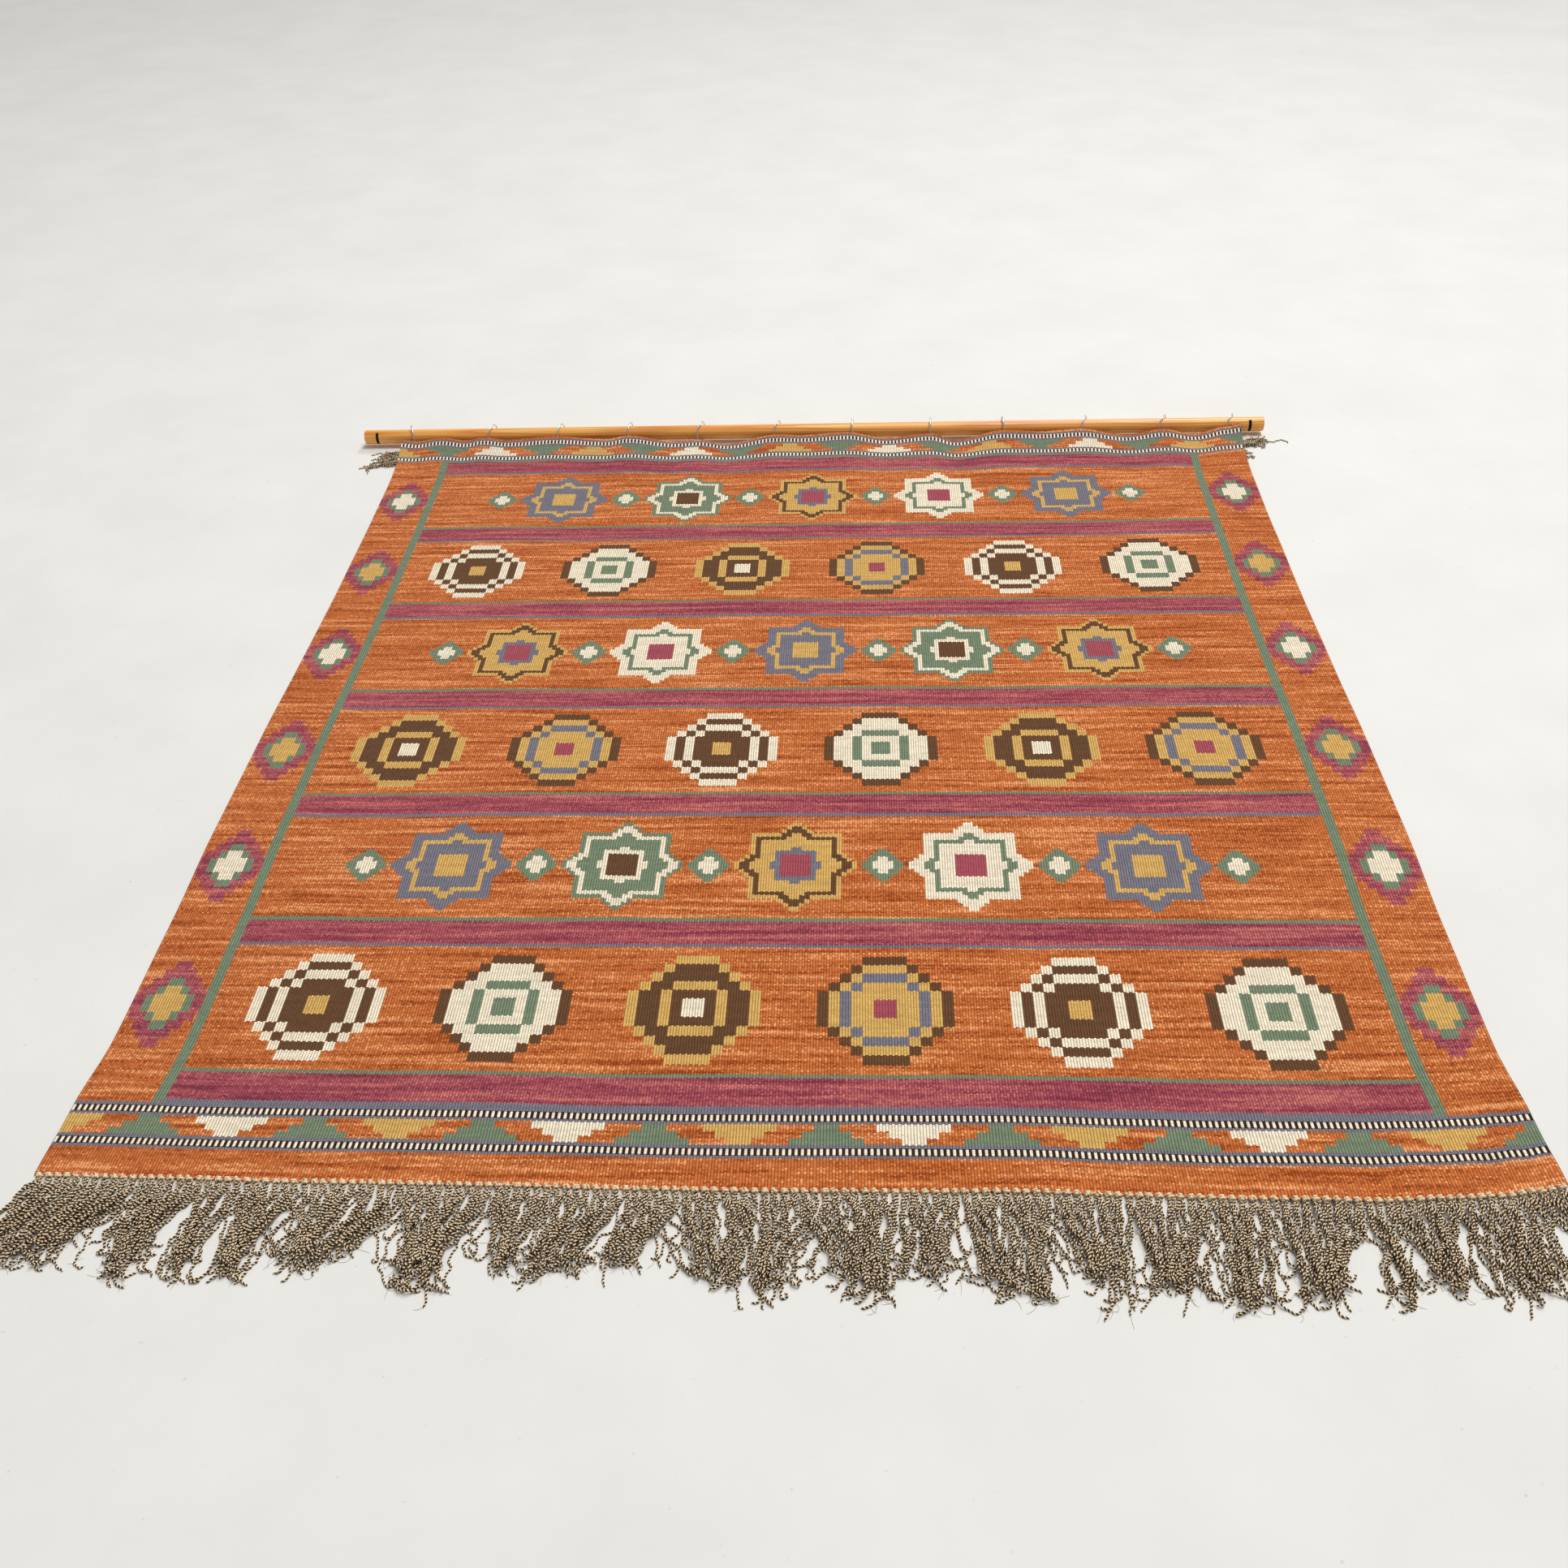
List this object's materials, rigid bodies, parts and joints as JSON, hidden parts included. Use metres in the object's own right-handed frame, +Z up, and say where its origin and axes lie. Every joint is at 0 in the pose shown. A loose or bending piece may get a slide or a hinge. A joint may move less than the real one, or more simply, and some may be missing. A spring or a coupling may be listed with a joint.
{
  "type": "flatweave curtain on a wooden rod",
  "caption": "Large woven wool curtain or wall hanging, laid flat, with a knotted fringe at its foot and wire rings holding its top edge to a round wooden rod.",
  "frame": {"origin": "on the floor, under the middle of the whole part's box", "axes": "+X along the rod, +Y from the fringe towards the rod, +Z up from the floor"},
  "size_m": [2.2, 2.2736, 0.048],
  "materials": {
    "wool_weave": "matte ribbed wool, orange with plum, green and cream",
    "warp_yarn": "plied marled wool yarn, brown and cream",
    "rod_wood": "oiled pine",
    "ring_wire": "plain drawn wire"
  },
  "bodies": {
    "root": {"woven_panel": "wool_weave", "fringe": "warp_yarn", "corner_tuft_left": "warp_yarn", "corner_tuft_right": "warp_yarn", "rod": "rod_wood", "ring_01": "ring_wire", "ring_02": "ring_wire", "ring_03": "ring_wire", "ring_04": "ring_wire", "ring_05": "ring_wire", "ring_06": "ring_wire", "ring_07": "ring_wire", "ring_08": "ring_wire", "ring_09": "ring_wire", "ring_10": "ring_wire", "ring_11": "ring_wire", "ring_12": "ring_wire"}
  },
  "joints": []
}
